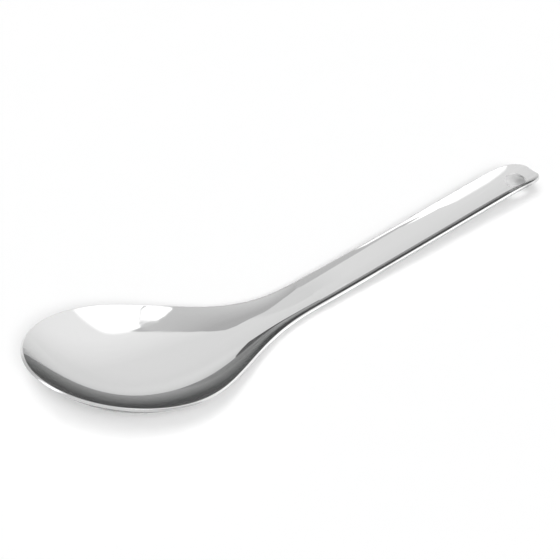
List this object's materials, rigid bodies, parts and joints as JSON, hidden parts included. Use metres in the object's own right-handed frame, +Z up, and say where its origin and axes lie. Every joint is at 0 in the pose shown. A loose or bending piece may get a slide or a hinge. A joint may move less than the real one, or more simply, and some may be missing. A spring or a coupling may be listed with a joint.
{
  "type": "rice serving spoon",
  "caption": "Serving spoon pressed from one polished steel sheet: wide egg-shaped bowl, channelled handle with raised lips and a round hang hole.",
  "frame": {"origin": "middle of the flat under the bowl's heel, on the table that the spoon lies on", "axes": "+Z up from the table, +X along the spoon from the bowl's tip to the handle's end, +Y across it"},
  "size_m": [0.2259, 0.0662, 0.0282],
  "materials": {
    "polished_stainless": "polished"
  },
  "bodies": {
    "root": {"pressed_spoon": "polished_stainless"}
  },
  "joints": []
}
